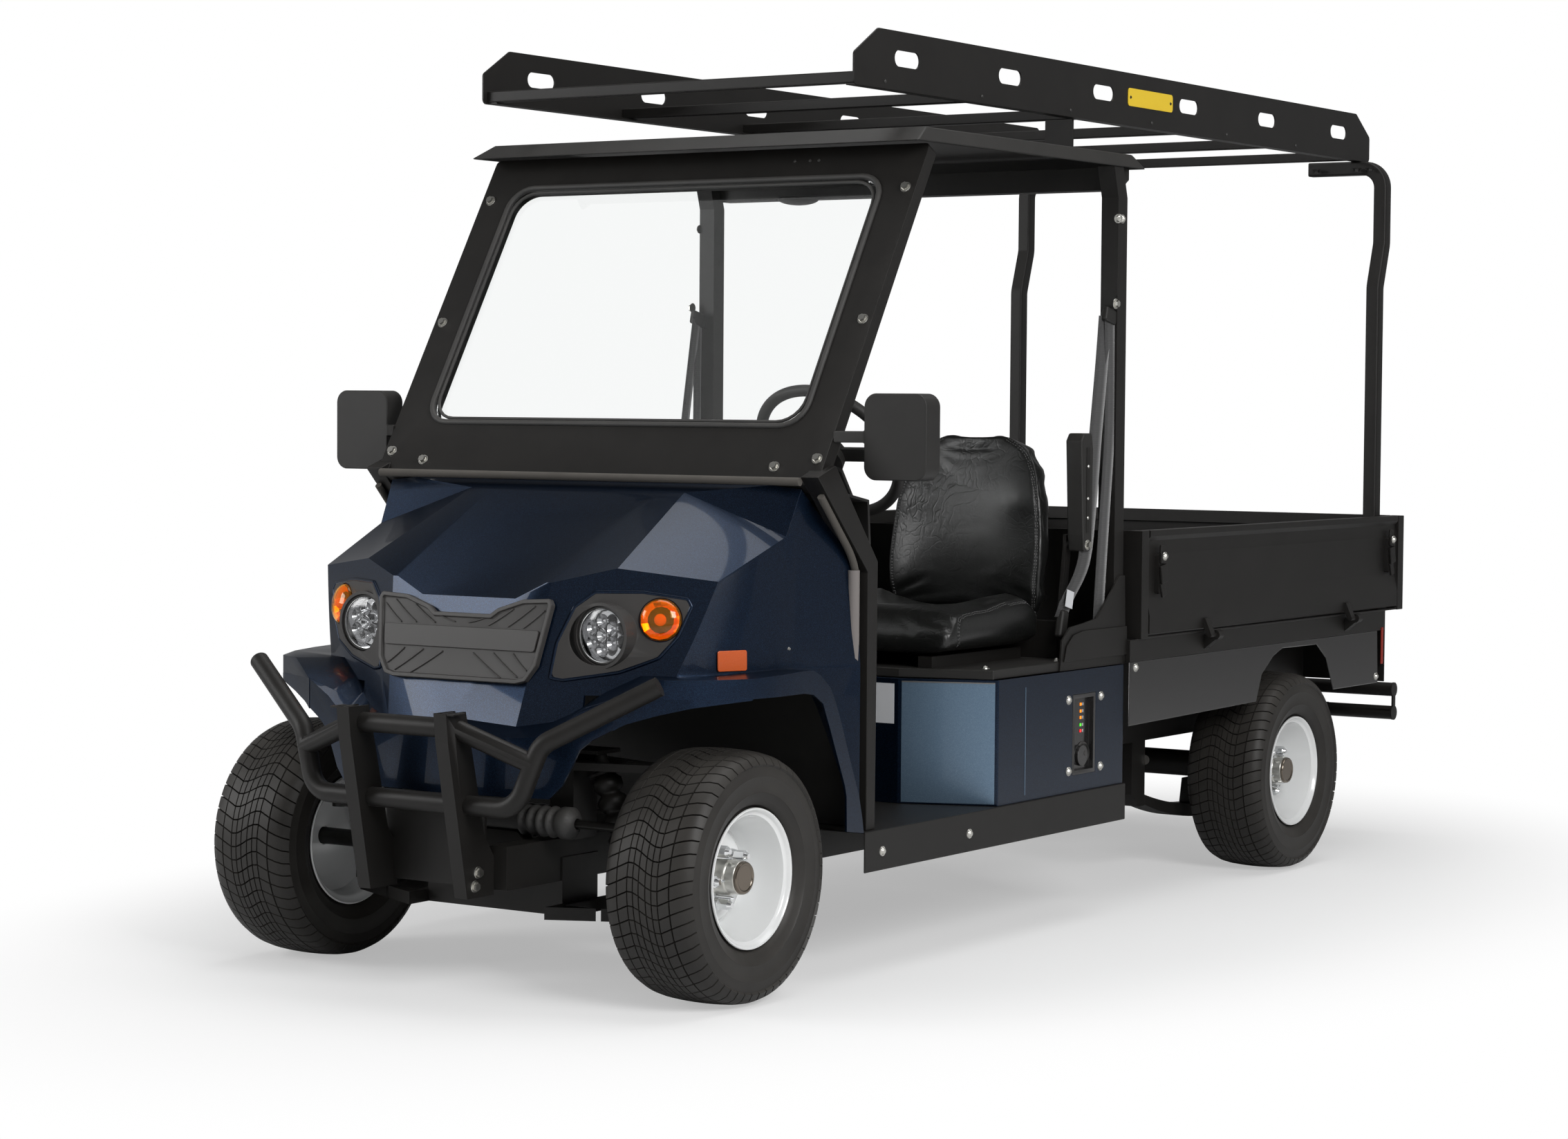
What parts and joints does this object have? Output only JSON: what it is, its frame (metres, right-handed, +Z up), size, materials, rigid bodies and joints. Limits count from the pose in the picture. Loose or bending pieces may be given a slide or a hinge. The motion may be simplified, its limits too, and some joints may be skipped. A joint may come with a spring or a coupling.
{
  "type": "low-speed utility vehicle",
  "caption": "Open two-seat electric utility vehicle with a drop-side load bed, faceted cowl, brush guard, raked windshield and a full-length roof rack.",
  "frame": {"origin": "centre of the bounding box, on the floor the tyres stand on", "axes": "+X to the vehicle's left, +Y to its rear, +Z up; the front axle is at y = -1.439 m"},
  "size_m": [1.582, 3.662, 2.0039],
  "materials": {
    "tyre": "matte moulded rubber",
    "rim_white": "gloss white",
    "navy": "metallic gloss",
    "black_steel": "textured powder coat",
    "black_plastic": "grained",
    "bellows_rubber": "matt",
    "lamp_clear": "clear lens over bright bowl",
    "lamp_amber": "clear amber",
    "lamp_red": "clear red",
    "marker_orange": "reflective",
    "glass": "clear",
    "seat_vinyl": "grained, stitched",
    "webbing": "woven",
    "battery_case": "plain"
  },
  "bodies": {
    "chassis": {"front_suspension": "black_steel", "rear_axle": "black_steel", "leaf_springs": "black_steel", "frame": "black_steel", "bull_bar": "black_steel", "front_frame": "black_steel", "floor": "black_steel", "seat_frames": "black_steel", "roof_posts": "black_steel", "rack_sides": "black_steel", "rack_tubes": "black_steel", "rack_struts": "black_steel", "rack_posts": "black_steel", "rear_bumper": "black_steel", "hinge_eyes": "black_steel", "pedals": "black_steel", "rack_housing": "bellows_rubber", "cowl": "navy", "rear_fenders": "navy", "seat_box": "navy", "bed": "black_steel", "grille_panel": "black_plastic", "lamp_bezels": "black_plastic", "dash": "black_plastic", "seat_deck": "black_plastic", "roof_panel": "black_plastic", "mirrors": "black_plastic", "steering_column": "black_plastic", "headlamps": "lamp_clear", "turn_lamps": "lamp_amber", "side_markers": "marker_orange", "windshield_glass": "glass", "battery": "battery_case", "charge_panel": "black_plastic", "seat_cushions": "seat_vinyl", "seat_backs": "seat_vinyl", "seat_belts": "webbing", "tail_lamps": "lamp_red"},
    "wheel_front_left": {"tyre_front_left": "tyre", "rim_front_left": "rim_white"},
    "wheel_front_right": {"tyre_front_right": "tyre", "rim_front_right": "rim_white"},
    "wheel_rear_left": {"tyre_rear_left": "tyre", "rim_rear_left": "rim_white"},
    "wheel_rear_right": {"tyre_rear_right": "tyre", "rim_rear_right": "rim_white"},
    "knuckle_left": {"knuckle_left": "black_steel"},
    "knuckle_right": {"knuckle_right": "black_steel"},
    "tie_rods": {"tie_rods": "black_steel"},
    "steering_wheel": {"steering_wheel": "black_plastic"},
    "drop_side_left": {"drop_side_left": "black_steel"},
    "drop_side_right": {"drop_side_right": "black_steel"},
    "tailgate": {"tailgate": "black_steel"},
    "armrest_left": {"armrest_left": "seat_vinyl"},
    "armrest_right": {"armrest_right": "seat_vinyl"}
  },
  "joints": [
    {"name": "steer_left", "type": "hinge", "parent": "chassis", "child": "knuckle_left", "pos_m": [0.401, -1.439, 0.256], "axis": [0, 0, 1], "range_deg": [-30, 30]},
    {"name": "steer_right", "type": "hinge", "parent": "chassis", "child": "knuckle_right", "pos_m": [-0.401, -1.439, 0.256], "axis": [0, 0, 1], "range_deg": [-30, 30]},
    {"name": "rack_travel", "type": "slide", "parent": "chassis", "child": "tie_rods", "axis": [1, 0, 0], "range_m": [-0.06, 0.06]},
    {"name": "steering_turn", "type": "hinge", "parent": "chassis", "child": "steering_wheel", "pos_m": [0.33, -0.739, 1.095], "axis": [0, 0.8, 0.6], "range_deg": [-395, 395]},
    {"name": "roll_front_left", "type": "hinge", "parent": "knuckle_left", "child": "wheel_front_left", "pos_m": [0.52, -1.439, 0.256], "axis": [1, 0, 0], "continuous": true},
    {"name": "roll_front_right", "type": "hinge", "parent": "knuckle_right", "child": "wheel_front_right", "pos_m": [-0.52, -1.439, 0.256], "axis": [1, 0, 0], "continuous": true},
    {"name": "roll_rear_left", "type": "hinge", "parent": "chassis", "child": "wheel_rear_left", "pos_m": [0.53, 1.051, 0.256], "axis": [1, 0, 0], "continuous": true},
    {"name": "roll_rear_right", "type": "hinge", "parent": "chassis", "child": "wheel_rear_right", "pos_m": [-0.53, 1.051, 0.256], "axis": [1, 0, 0], "continuous": true},
    {"name": "drop_left", "type": "hinge", "parent": "chassis", "child": "drop_side_left", "pos_m": [0.648, 0.937, 0.64], "axis": [0, 1, 0], "range_deg": [0, 180]},
    {"name": "drop_right", "type": "hinge", "parent": "chassis", "child": "drop_side_right", "pos_m": [-0.648, 0.937, 0.64], "axis": [0, -1, 0], "range_deg": [0, 180]},
    {"name": "tailgate_drop", "type": "hinge", "parent": "chassis", "child": "tailgate", "pos_m": [0, 1.726, 0.64], "axis": [-1, 0, 0], "range_deg": [0, 150]},
    {"name": "armrest_fold_left", "type": "hinge", "parent": "chassis", "child": "armrest_left", "pos_m": [0.568, -0.033, 0.877], "axis": [1, 0, 0], "range_deg": [0, 90]},
    {"name": "armrest_fold_right", "type": "hinge", "parent": "chassis", "child": "armrest_right", "pos_m": [-0.568, -0.033, 0.877], "axis": [1, 0, 0], "range_deg": [0, 90]}
  ],
  "couplings": [
    {"joint": "steer_right", "follows": "steer_left", "ratio": 1},
    {"joint": "rack_travel", "follows": "steer_left", "m_per_rad": 0.108},
    {"joint": "steering_turn", "follows": "steer_left", "ratio": 13}
  ]
}
